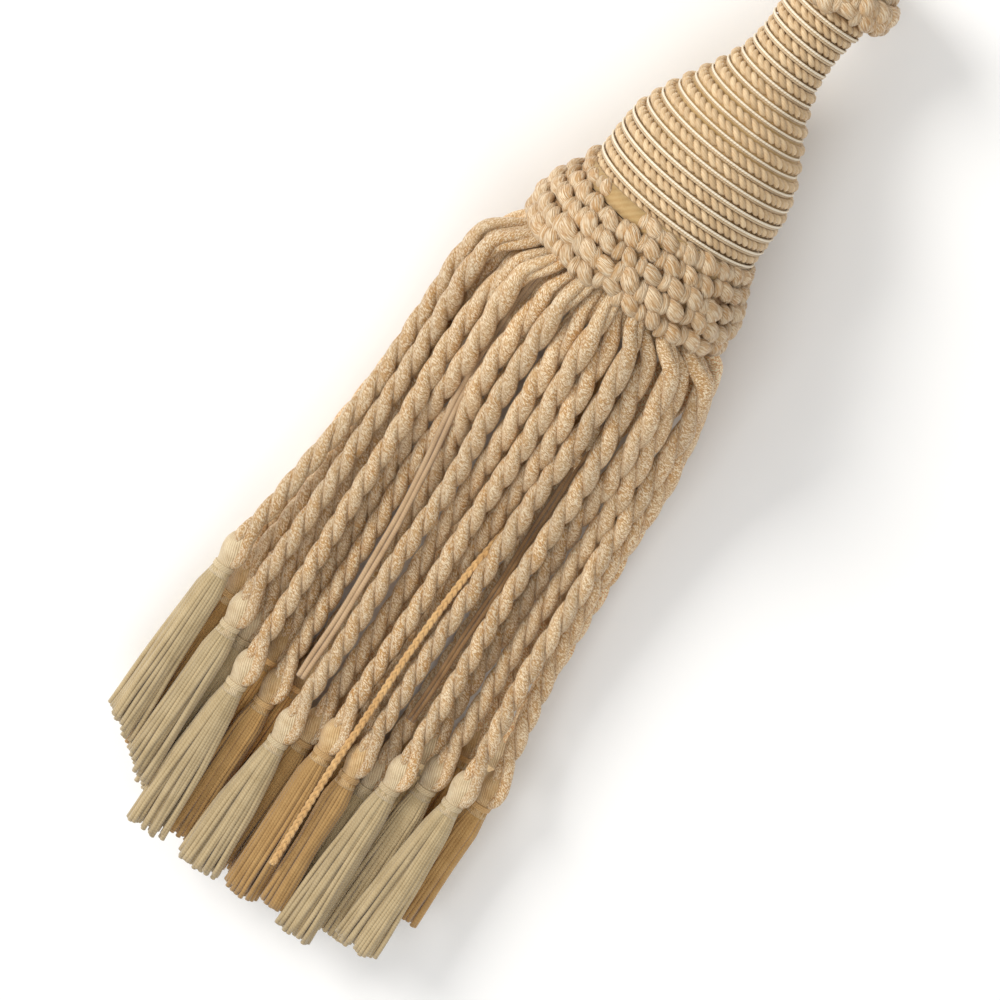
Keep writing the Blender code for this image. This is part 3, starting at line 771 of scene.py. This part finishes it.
TOP_KNOT_ROWS = [
    # along, lift, knots, first knot's place in pitches, knot size
    (85.9, 0.0, 15, 0.0, 1.0),
    (89.2, 0.1, 15, 0.5, 0.95),
    (92.0, -0.4, 12, 0.0, 0.85),
    (93.8, -0.7, 8, 0.5, 0.7),
]
COIL_TURNS = 2.6
COIL_POINTS = 60
COIL_ALONG = 94.4
COIL_DROP = 0.25  # for each turn
COIL_START_RADIUS = 5.6
COIL_PITCH = 2.0
COIL_CORD_RADIUS = 1.15
TOP_CORE_INSET = 1.3
TOP_CORE_SIDES = 36


def knot_arc(yarn, centre, outward, direction, arc, size):
    """One short plump arc of cord that rises from the surface and dives back."""
    length, radius, bulge, sink = arc
    length *= size
    radius *= size
    share = np.linspace(-1.0, 1.0, KNOT_POINTS)
    across = np.cross(direction, outward)
    path = centre + direction * (share * length / 2)[:, None]
    path = path + outward * (bulge * (1 - share**2) - sink)[:, None]
    path = path + across * (KNOT_BEND * length * share * (1 - share**2))[:, None]
    thick = radius * np.sqrt(1 - KNOT_TAPER * share**2)
    yarn.tube(path, thick, outward, KNOT_SIDES, flat=KNOT_FLATNESS)


def slanted(round_way, tilt):
    """A direction between the way round the head and its axis."""
    degrees, stray = tilt
    angle = math.radians(degrees + rng.normal(0, stray))
    return round_way * math.cos(angle) + HEAD_AXIS * math.sin(angle)


def knot_row(yarn, along, radius, count, offset, scale, gap=(0.0, 0.0)):
    """A ring of knots, each a plump arc of cord over a smaller one; gap is in degrees."""
    for index in range(count):
        angle = math.tau * (index + offset) / count + rng.normal(0, ANGLE_STRAY)
        if gap[0] < math.degrees(angle) % 360 < gap[1]:
            continue
        place = head_point(along + rng.normal(0, PLACE_STRAY), radius, angle)
        outward = place - head_point(along, 0.0, angle)
        outward /= np.linalg.norm(outward)
        round_way = np.cross(outward, HEAD_AXIS)
        over = slanted(round_way, OVER_TILT)
        under = slanted(round_way, UNDER_TILT)
        size = scale * (1 + rng.normal(0, SIZE_STRAY))
        knot_arc(yarn, place, outward, over, OVER_ARC, size)
        pitch = math.tau * radius / count
        lower = place + round_way * pitch * 0.5 - HEAD_AXIS * UNDER_DROP * size
        knot_arc(yarn, lower, outward, under, UNDER_ARC, size)


def ruff(materials):
    """The collar of staggered knots."""
    knots = Yarn()
    low = RUFF_OUTSIDE[0][0] + RUFF_ROWS_START
    high = RUFF_OUTSIDE[-1][0] - RUFF_ROWS_STOP
    highest = len(RUFF_ROW_INSETS) - 1
    for row, depth in enumerate(RUFF_ROW_INSETS):
        along = low + (high - low) * row / highest
        radius = float(along_table(RUFF_OUTSIDE, along)) - depth
        gap = RUFF_GAP if row == highest else (0.0, 0.0)
        scale = radius / RUFF_FULL_RADIUS
        knot_row(knots, along, radius, RUFF_KNOTS_ROUND, 0.5 * (row % 2), scale, gap)
    piece = knots.piece("knotted_ruff", [materials["ruff"]])
    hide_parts("ruff")
    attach(piece, "root")
    for name, yarn, places in RUFF_WALLS:
        profile = [(along, float(along_table(RUFF_OUTSIDE, along))) for along in places]
        wall = sleeve(name, inset(profile, WALL_INSET), materials[yarn])
        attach(wall, "root")


def sleeve(name, profile, material):
    """An open cone under the knots."""
    angle = math.tau * np.arange(WALL_SIDES) / WALL_SIDES
    rings = [head_point(along, radius, angle) for along, radius in profile]
    inside = [head_point(along, radius - WALL_THICKNESS, angle) for along, radius in reversed(profile)]
    points = to_metres(np.vstack(rings + inside))
    count = 2 * len(profile)
    faces = []
    for ring in range(count):
        for side in range(WALL_SIDES):
            after = (side + 1) % WALL_SIDES
            low = ring * WALL_SIDES
            high = (ring + 1) % count * WALL_SIDES
            faces.append((low + side, low + after, high + after, high + side))
    mesh = bpy.data.meshes.new(name)
    mesh.from_pydata(points.tolist(), [], faces)
    mesh.uv_layers.new(name="yarn")
    mesh.materials.append(material)
    mesh.shade_smooth()
    return add_object(name, mesh)


def top_knot(materials):
    """The knotted ring round the neck's top, closed with a coil of cord."""
    knots = Yarn()
    for along, lift, count, offset, scale in TOP_KNOT_ROWS:
        radius = float(along_table(TOP_KNOT_PROFILE, along)) + lift
        knot_row(knots, along, radius, count, offset, scale)
    turn = np.linspace(0.0, COIL_TURNS, COIL_POINTS)
    coil_radius = COIL_START_RADIUS - COIL_PITCH * turn
    coil = head_point(COIL_ALONG - COIL_DROP * turn, coil_radius, math.tau * turn)
    knots.tube(coil, COIL_CORD_RADIUS, HEAD_AXIS)
    piece = knots.piece("top_knot_cord", [materials["ruff"]])
    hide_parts("top_knot")
    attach(piece, "root")
    profile = inset(TOP_KNOT_PROFILE, TOP_CORE_INSET)
    core = turned_surface("top_knot_core", profile, TOP_CORE_SIDES, materials["ruff"])
    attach(core, "root")


# ---------------------------------------- the skirt

PLY_SIZES = [
    # distance below the rim, ply radius, how far each ply lies from the rope's middle
    (-2.0, 1.50, 0.90),
    (4.0, 1.85, 1.08),
    (12.0, 2.08, 1.20),
    (45.0, 2.02, 1.18),
    (75.0, 1.78, 1.16),
    (150.0, 1.68, 1.15),
]
PLY_RADIUS = 1.7  # a usual one
PLY_FLATNESS = 0.78
PLY_SIDES = 12
HALF_TURNS = [
    # distance below the rim, length of a half turn there
    (0.0, 36.0),
    (8.0, 18.0),
    (20.0, 11.5),
    (45.0, 9.8),
    (70.0, 8.9),
    (150.0, 6.9),
]
ROPE_STEP = 1.1
TWIST_STOP = 1.6  # above the knot
SWAY = 0.22
SWAY_LENGTH = 9.0
SWAY_GROWTH = 20
TURN_UP_START = 8.0
TURN_UP_LENGTH = 60.0
PLY_TAILS = [
    # where each ply goes at the small tassel, as distance below the knot, x and height from there:
    # over the ball's top, and down its right side
    [(0.8, -0.9, 1.0), (3.0, -0.5, 1.7)],
    [(1.4, 1.8, 1.5), (4.2, 2.6, 1.9), (7.2, 2.5, 1.6), (9.6, 1.6, 0.9)],
]
TAIL_STEP = 0.9
TAIL_THINNING = 0.85
TAIL_TIP = (0.9, 0.75, 0.5)
THICKNESS_WANDER = 0.05
WANDER_TURN = 0.29  # radians for each point of a ply
# Painted light: how much lighter the ropes of each layer are, from the lowest up, so that ropes deep in
# the pile look less shaded.
ROPE_LIGHT_LIFTS = (1.2, 0.5, 0.25, 0.0)
BACKING_PROFILE = [
    # along, radius
    (BACKING_LOW, 27.6),
    (9.0, 24.7),
]
BACKING_SIDES = 48
PLAIT_LENGTH = 6.4
PLAIT_STEP = 0.8
LOOSE_STEP = 1.5
LOOSE_SWAY = 0.12
LOOSE_SWAY_LENGTH = 5.0


def layer_height(layer):
    """Height of a layer's middle above the surface."""
    return LAYER_HEIGHT / 2 + LAYER_PITCH * layer


def arch_height(x):
    """Height of the upper ropes at the skirt's shoulder."""
    return ARCH_FOOT + ARCH_RISE * math.sqrt(max(1 - (x / ARCH_HALF_WIDTH) ** 2, 0.0))


def upper_rows():
    """The upper ropes as rows of named values."""
    return [dict(zip(UPPER_COLUMNS, row)) for row in UPPER_ROPES]


def lower_rows():
    """The lower ropes as rows of the same named values."""
    rows = []
    for index, (layer, knot_x) in enumerate(LOWER_ROPES):
        rise = LOWER_RIM_RISE * (knot_x / LOWER_ROPES[-1][1]) ** 2
        rows.append({
            "layer": layer,
            "waist_x": LOWER_WAIST_SHARE * knot_x,
            "knot_x": knot_x,
            "tip_x": knot_x,
            "knot_at": LOWER_KNOT_AT - rise,
            "tip_at": LOWER_TIP_AT - rise,
            "width": LOWER_WIDTH,
            "shade": "gold" if index % LOWER_CREAM_EVERY else "cream",
        })
    return rows


def under_arch(x, depth):
    """A point square under the shoulder's arch: x, height."""
    height = arch_height(x)
    slope_x = x / ARCH_HALF_WIDTH**2
    slope_z = (height - ARCH_FOOT) / ARCH_RISE**2
    length = math.hypot(slope_x, slope_z)
    return x - depth * slope_x / length, height - depth * slope_z / length


def upper_stops(row):
    """Stops of an upper rope below the rim: distance, x, height."""
    inward = RING_STEP * row["ring"]
    sunk = row["ring"] == INNERMOST_RING
    angle = math.acos(RIM_SHARE * row["shoulder_x"] / SHOULDER_REACH)
    root = head_point(BACKING_LOW, ROPE_RING_RADIUS - inward, angle)
    rim = head_point(-RIM_DROP, RIM_RADIUS - inward, angle)
    flare_x = RIM_X + (FLARE_WIDTH - inward) * math.cos(angle)
    flare_z = RIM_HEIGHT + (rim[2] - RIM_HEIGHT) * FLARE_LIFT - FLARE_SAG
    shoulder = under_arch(row["shoulder_x"], SHOULDER_SINK * sunk)
    layer_z = layer_height(row["layer"])
    waist_z = layer_z + WAIST_LIFT * (arch_height(row["shoulder_x"]) - layer_z) - WAIST_SINK * sunk
    bend = ((LEVEL - WAIST) / (row["knot_at"] - WAIST)) ** LEVEL_BEND
    return [
        (-root[1], root[0], root[2]),
        (-rim[1], rim[0], rim[2]),
        (FLARE, flare_x, flare_z),
        (SHOULDER, *shoulder),
        (WAIST, row["waist_x"], waist_z),
        (LEVEL, row["waist_x"] + (row["knot_x"] - row["waist_x"]) * bend, layer_z),
        (row["knot_at"] - KNOT_GAP, row["knot_x"], layer_z),
    ]


def lower_stops(index, row):
    """Stops of a lower rope below the rim: distance, x, height."""
    share = 2 * index / (len(LOWER_ROPES) - 1) - 1
    angle = math.pi + math.pi * (index + 0.5) / len(LOWER_ROPES)
    root = head_point(BACKING_LOW, LOWER_RING_RADIUS, angle)
    rim = head_point(-RIM_DROP, RIM_RADIUS, angle)
    ground = ROPE_HALF_WIDTH
    layer_z = layer_height(row["layer"]) if row["layer"] else ground
    shoulder_z = ground + LOWER_SIDE_RISE * share**2
    flare_x = RIM_X + LOWER_FLARE_WIDTH * math.cos(angle)
    return [
        (-root[1], root[0], root[2]),
        (-rim[1], rim[0], rim[2]),
        (FLARE, flare_x, ground + LOWER_FLARE_SHARE * (rim[2] - ground)),
        (SHOULDER, LOWER_SPREAD * share, shoulder_z),
        (WAIST, row["waist_x"], shoulder_z + LOWER_WAIST_LIFT * (layer_z - shoulder_z)),
        (LEVEL, row["knot_x"] * LOWER_LEVEL_SHARE, layer_z),
        (row["knot_at"] - KNOT_GAP, row["knot_x"], layer_z),
    ]


def rope_turn(at):
    """Angle of the plies along a rope: whole half turns from the ruff to 0 at the end."""
    rate = math.pi / along_table(HALF_TURNS, at)
    swept = np.concatenate([[0.0], np.cumsum(np.diff(at) * (rate[1:] + rate[:-1]) / 2)])
    half_turns = round(swept[-1] / math.pi)
    return (swept[-1] - swept) * half_turns * math.pi / swept[-1]


def rope_outward(at, rim):
    """Which way is out of the skirt: away from the ruff's middle at the rim, upwards lower down."""
    away = np.array((rim[1] - RIM_X, 0.0, rim[2] - RIM_HEIGHT))
    away /= np.linalg.norm(away)
    share = np.clip((at - TURN_UP_START) / TURN_UP_LENGTH, 0.0, 1.0)[:, None]
    share = share * share * (3 - 2 * share)
    return unit(away * (1 - share) + UP * share)


def rope_ply(yarn, path, outward, tail_stops):
    """One ply of a rope: its twisted stretch, then its tail over the small tassel's ball."""
    last = [(-point[1], point[0], point[2]) for point in path[-2:]]
    tail = route(last + tail_stops, TAIL_STEP)[1]
    facing = np.vstack([outward[:-2], np.repeat(outward[-1:], len(tail), axis=0)])
    path = np.vstack([path[:-2], tail])
    path[:, 2] = np.maximum(path[:, 2], PLY_RADIUS)
    wander = np.sin(np.arange(len(path)) * WANDER_TURN + math.tau * rng.random())
    radius = along_table(PLY_SIZES, -path[:, 1]) * (1 + THICKNESS_WANDER * wander)
    radius[-len(tail):] *= np.linspace(1.0, TAIL_THINNING, len(tail))
    radius[-len(TAIL_TIP):] *= TAIL_TIP
    flat = np.full(len(path), PLY_FLATNESS)
    flat[-len(tail):] = np.linspace(PLY_FLATNESS, 1.0, len(tail))
    yarn.tube(path, radius, facing, PLY_SIDES, flat=flat)


def rope(yarn, stops, row):
    """One rope of two plies twisted together, which part at the small tassel."""
    at, centre = route(stops, ROPE_STEP)
    twisted = at < row["knot_at"] - TWIST_STOP
    sway = SWAY * np.sin(at / SWAY_LENGTH + math.tau * rng.random())
    centre[:, 0] += sway * np.clip(at / SWAY_GROWTH, 0, 1)
    tangent = unit(np.gradient(centre, axis=0))
    side = unit(np.cross(rope_outward(at, stops[1]), tangent))
    top = np.cross(tangent, side)
    turn = rope_turn(at)
    knot_z = layer_height(row["layer"])
    for places, phase in zip(PLY_TAILS, (math.pi, 0.0)):
        offset = side * np.cos(turn + phase)[:, None] + top * np.sin(turn + phase)[:, None]
        path = centre + along_table(PLY_SIZES, at, 2)[:, None] * offset
        tail = [(row["knot_at"] + below, row["knot_x"] + x, knot_z + z) for below, x, z in places]
        rope_ply(yarn, path[twisted], offset[twisted], tail)


def loose_strand(name, material, count, gap, radius, flat, stops):
    """Thin yarns over the ropes, side by side or plaited."""
    strand = Yarn()
    at, centre = route(stops, PLAIT_STEP if name == PLAITED else LOOSE_STEP)
    centre[:, 2] -= along_table(LOOSE_SINK, at)
    for index in range(count):
        if name == PLAITED:
            turn = math.tau * (at / PLAIT_LENGTH + index / count)
            across = gap * np.sin(turn)
            rise = 0.5 * gap * np.sin(2 * turn)
            path = centre + np.stack([across, np.zeros(len(turn)), rise], axis=-1)
        else:
            path = centre + ((index - (count - 1) / 2) * gap, 0.0, 0.0)
            path[:, 0] += LOOSE_SWAY * np.sin(path[:, 1] / LOOSE_SWAY_LENGTH + index)
        strand.tube(path, radius, UP, flat=flat)
    return strand.piece(name, [material])


def skirt(materials):
    """All ropes, their backing and the loose strands."""
    upper = Yarn()
    for row in upper_rows():
        # Painted light: ropes of lower layers are made lighter.
        upper.tone = ROPE_LIGHT_LIFTS[row["layer"]]
        rope(upper, upper_stops(row), row)
    piece = upper.piece("upper_ropes", [materials["rope"]])
    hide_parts("skirt")
    # Painted light: the lower ropes are as light as the lowest layer's.
    lower = Yarn(ROPE_LIGHT_LIFTS[0])
    for index, row in enumerate(lower_rows()):
        rope(lower, lower_stops(index, row), row)
    lower_piece = lower.piece("lower_ropes", [materials["rope"]])
    # The backing's dark brown is painted shade, seen in the gaps between the ropes.
    backing = turned_surface("skirt_backing", BACKING_PROFILE, BACKING_SIDES, materials["core"])
    pieces = [piece, lower_piece, backing]
    for name, yarn, *sizes in LOOSE_STRANDS:
        pieces.append(loose_strand(name, materials[yarn], *sizes))
    for made in pieces:
        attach(made, "root")


# ---------------------------------------- the small tassels

BALL_PROFILE = [
    # below the top, half width, half height
    (0.0, 0.6, 0.5),
    (0.3, 1.4, 1.2),
    (0.8, 2.15, 1.8),
    (1.6, 2.8, 2.25),
    (2.8, 3.3, 2.6),
    (4.2, 3.55, 2.75),
    (5.6, 3.5, 2.7),
    (7.0, 3.2, 2.5),
    (8.2, 2.85, 2.3),
    (9.2, 2.6, 2.15),
    (10.0, 2.5, 2.1),
    (11.8, 2.5, 2.1),
    (13.2, 2.95, 2.35),
    (18.0, 3.8, 2.65),
]
NECK_AT = (10.0, 11.2)
NECK_TURNS = 2.5
NECK_POINTS = 50
NECK_THREAD_RADIUS = 0.3
NECK_THREAD_LIFT = 0.12
# The bundle below the ball. Its body's place is a share of its length, and widths are shares of its own.
BODY_AT = 0.6
BODY_WIDTH = 0.91
BODY_HALF_HEIGHT = 2.7
TIP_WIDTH = 1.04
TIP_HALF_HEIGHT = 2.75
TIP_CUTS = {1: 0.6, 2: 0.5, 3: 0.6, 4: 0.6}  # tassel number, slope of its cut end
# Painted light: how much lighter the small tassels of each layer are, from the lowest up, so that tassels
# deep in the pile look less shaded.
TASSEL_LIGHT_LIFTS = (2.4, 4.6, 1.0, 0.0)

STRAND_RADIUS = 0.69
STRAND_SIZES = [
    # below the top, radius
    (NECK_AT[1], 0.5),
    (17.0, 0.64),
    (26.0, STRAND_RADIUS),
]
STRAND_RINGS = [
    # strands against a full ring, depth from the middle, how ragged their ends are
    (1.0, 1.0, 0.95),
    (0.55, 0.52, 1.3),
]
IN_NECK = 0.8  # where a strand starts, inside the neck's lower end
FREE_START = 14
FREE_LENGTH = 36  # over which strands come to lie freely
FEWEST_POINTS = 6
FINE_STEPS = 360
ANGLE_SPREAD = 0.12  # in strands
CLUMPS = 5  # places round a bundle towards which its strands lean
CLUMP_REACH = 0.42
STRAY = 0.4
WAVE = 0.2
WAVE_LENGTH = 7.0
RISE_STRAY = 0.25
TOP_WAVES = 9  # these keep neighbours on a bundle's flat side out of one plane
TOP_DEPTH = 0.3
# Sides of a ball, strands that share a place, sides of a strand, distance between its points.
HIDDEN_DETAIL = (16, 0.9, 5, 4.0)
SHOWING_DETAIL = (24, 1.2, 6, 2.4)


def tassel_size(row, below):
    """Half width and half height of a small tassel at distances below its top."""
    tip = row["tip_at"] - row["knot_at"]
    sizes = BALL_PROFILE + [
        (tip * BODY_AT, BODY_WIDTH * row["width"] / 2, BODY_HALF_HEIGHT),
        (tip, TIP_WIDTH * row["width"] / 2, TIP_HALF_HEIGHT),
    ]
    return along_table(sizes, below, 1), along_table(sizes, below, 2)


def tassel_middle(row, below):
    """The small tassel's middle line at distances below its top."""
    share = below / (row["tip_at"] - row["knot_at"])
    x = row["knot_x"] * (1 - share) + row["tip_x"] * share
    height = np.full(len(below), layer_height(row["layer"]))
    return np.stack([x, -(row["knot_at"] + below), height], axis=-1)


def ball_and_neck(yarn, row, sides):
    """The ball's skin of fine threads and the thread bound round the neck."""
    below = np.array([size[0] for size in BALL_PROFILE[:-1]])
    half_width, half_height = tassel_size(row, below)
    yarn.tube(tassel_middle(row, below), half_width, UP, sides, 1, half_height / half_width)
    turn = np.linspace(0.0, NECK_TURNS, NECK_POINTS)
    below = NECK_AT[0] + (NECK_AT[1] - NECK_AT[0]) * turn / turn[-1]
    half_width, half_height = tassel_size(row, below)
    coil = tassel_middle(row, below)
    coil[:, 0] += (half_width + NECK_THREAD_LIFT) * np.cos(math.tau * turn)
    coil[:, 2] += (half_height + NECK_THREAD_LIFT) * np.sin(math.tau * turn)
    yarn.tube(coil, NECK_THREAD_RADIUS, np.array((0.0, 1.0, 0.0)), THREAD_SIDES, 2)


def even_angles(count, wide, high):
    """Angles that space strands evenly round a flattened bundle."""
    fine = np.linspace(0.0, math.tau, FINE_STEPS + 1)
    steps = np.hypot(wide * np.diff(np.cos(fine)), high * np.diff(np.sin(fine)))
    length = np.concatenate([[0.0], np.cumsum(steps)])
    places = (np.arange(count) + 0.5 + rng.normal(0, ANGLE_SPREAD, count)) / count
    return np.interp(places * length[-1], length, fine)


def tassel_strand(yarn, row, angle, depth, end, sides, step):
    """One strand from inside the neck to its tip."""
    start = NECK_AT[1] - IN_NECK
    below = np.linspace(start, end, max(FEWEST_POINTS, int((end - start) / step)))
    half_width, half_height = tassel_size(row, below)
    radius = along_table(STRAND_SIZES, below)
    free = np.clip((below - FREE_START) / FREE_LENGTH, 0, 1)
    stray = CLUMP_REACH * math.sin(CLUMPS * angle + row["knot_x"]) + rng.normal(0, STRAY)
    wave = WAVE * np.sin(below / WAVE_LENGTH + math.tau * rng.random())
    path = tassel_middle(row, below)
    path[:, 0] += (half_width - radius) * depth * math.cos(angle) + (stray + wave) * free
    rise = (half_height - radius) * depth * math.sin(angle) + rng.normal(0, RISE_STRAY) * free
    limit = half_height - radius - TOP_DEPTH * abs(math.sin(TOP_WAVES * angle + row["knot_x"]))
    path[:, 2] += np.clip(rise, -limit, limit)
    yarn.tube(path, radius, UP, sides)


def small_tassel(number, row, materials):
    """A small tassel: its ball, its bound neck and two rings of strands."""
    # Painted light: tassels of lower layers are made lighter.
    yarn = Yarn(TASSEL_LIGHT_LIFTS[row["layer"]])
    detail = HIDDEN_DETAIL if row["layer"] < LOWEST_SHOWING_LAYER else SHOWING_DETAIL
    ball_sides, crowding, sides, step = detail
    ball_and_neck(yarn, row, ball_sides)
    tip = row["tip_at"] - row["knot_at"]
    cut = TIP_CUTS.get(number, 0.0)
    half = row["width"] / 2
    girth = math.pi * (half + TIP_HALF_HEIGHT)
    for share, depth, ragged in STRAND_RINGS:
        count = round(share * girth / (2 * STRAND_RADIUS) * crowding)
        for angle in even_angles(count, half * depth, TIP_HALF_HEIGHT * depth):
            end = tip + cut * half * depth * math.cos(angle) - abs(rng.normal(0, ragged))
            tassel_strand(yarn, row, angle, depth, end, sides, step)
    shade = row["shade"]
    yarns = [materials[shade], materials["thread_" + shade], materials["neck_" + shade]]
    piece = yarn.piece(f"small_tassel_{number:02d}", yarns)
    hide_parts(f"tassel_{number:02d}")
    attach(piece, "root")


def small_tassels(materials):
    """One small tassel on each rope's end."""
    for number, row in enumerate(upper_rows() + lower_rows(), start=1):
        small_tassel(number, row, materials)


def main():
    """Dress the frame."""
    photo_camera()
    studio()
    materials = make_materials()
    wound_head(materials)
    ruff(materials)
    top_knot(materials)
    skirt(materials)
    small_tassels(materials)


main()
